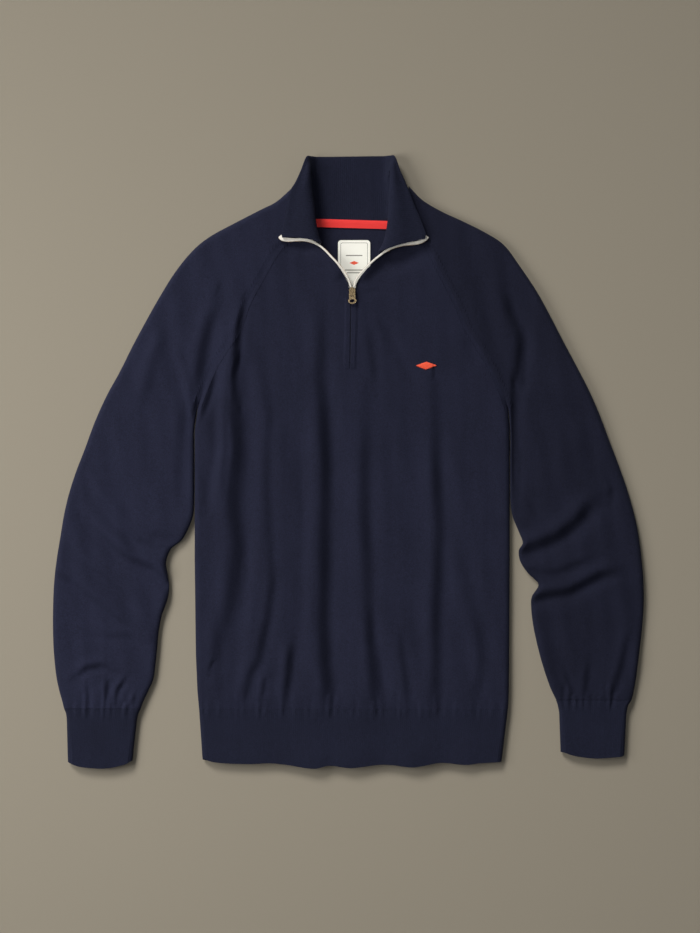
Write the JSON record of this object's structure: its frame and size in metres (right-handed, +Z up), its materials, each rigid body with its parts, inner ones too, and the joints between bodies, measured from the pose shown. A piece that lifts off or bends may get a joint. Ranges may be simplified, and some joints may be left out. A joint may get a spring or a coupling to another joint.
{
  "type": "quarter zip sweater",
  "caption": "Navy fine-knit sweater laid flat, with raglan sleeves, ribbed hem and cuffs, and a stand collar open at a short zip whose pull tab swings.",
  "frame": {"origin": "middle of the laid garment's box, on the surface it lies on", "axes": "+Y towards the collar, +X towards the wearer's left sleeve, +Z up off the surface, towards the front of the garment"},
  "size_m": [0.7516, 0.7787, 0.0252],
  "materials": {
    "knit": "fine navy jersey knit",
    "rib": "fine navy rib knit",
    "zip_tape": "cream woven zip tape",
    "zip_metal": "antique brass, satin",
    "neck_tape": "red grosgrain tape",
    "label": "off-white woven label, bare",
    "embroidery": "orange-red satin stitch"
  },
  "bodies": {
    "garment": {"back_panel": "knit", "front_panel": "knit", "sleeve_left": "knit", "sleeve_right": "knit", "hem_band": "rib", "cuff_left": "rib", "cuff_right": "rib", "collar": "rib", "welt_left": "knit", "welt_right": "knit", "zip_edge_left": "zip_tape", "zip_edge_right": "zip_tape", "zip_chain": "zip_tape", "zip_slider": "zip_metal", "neck_tape": "neck_tape", "neck_label": "label", "chest_motif": "embroidery"},
    "pull": {"zip_pull": "zip_metal"}
  },
  "joints": [
    {"name": "pull_swing", "type": "hinge", "parent": "garment", "child": "pull", "pos_m": [0.004, 0.21795, 0.016], "axis": [-1, 0, 0], "range_deg": [0, 150]}
  ]
}
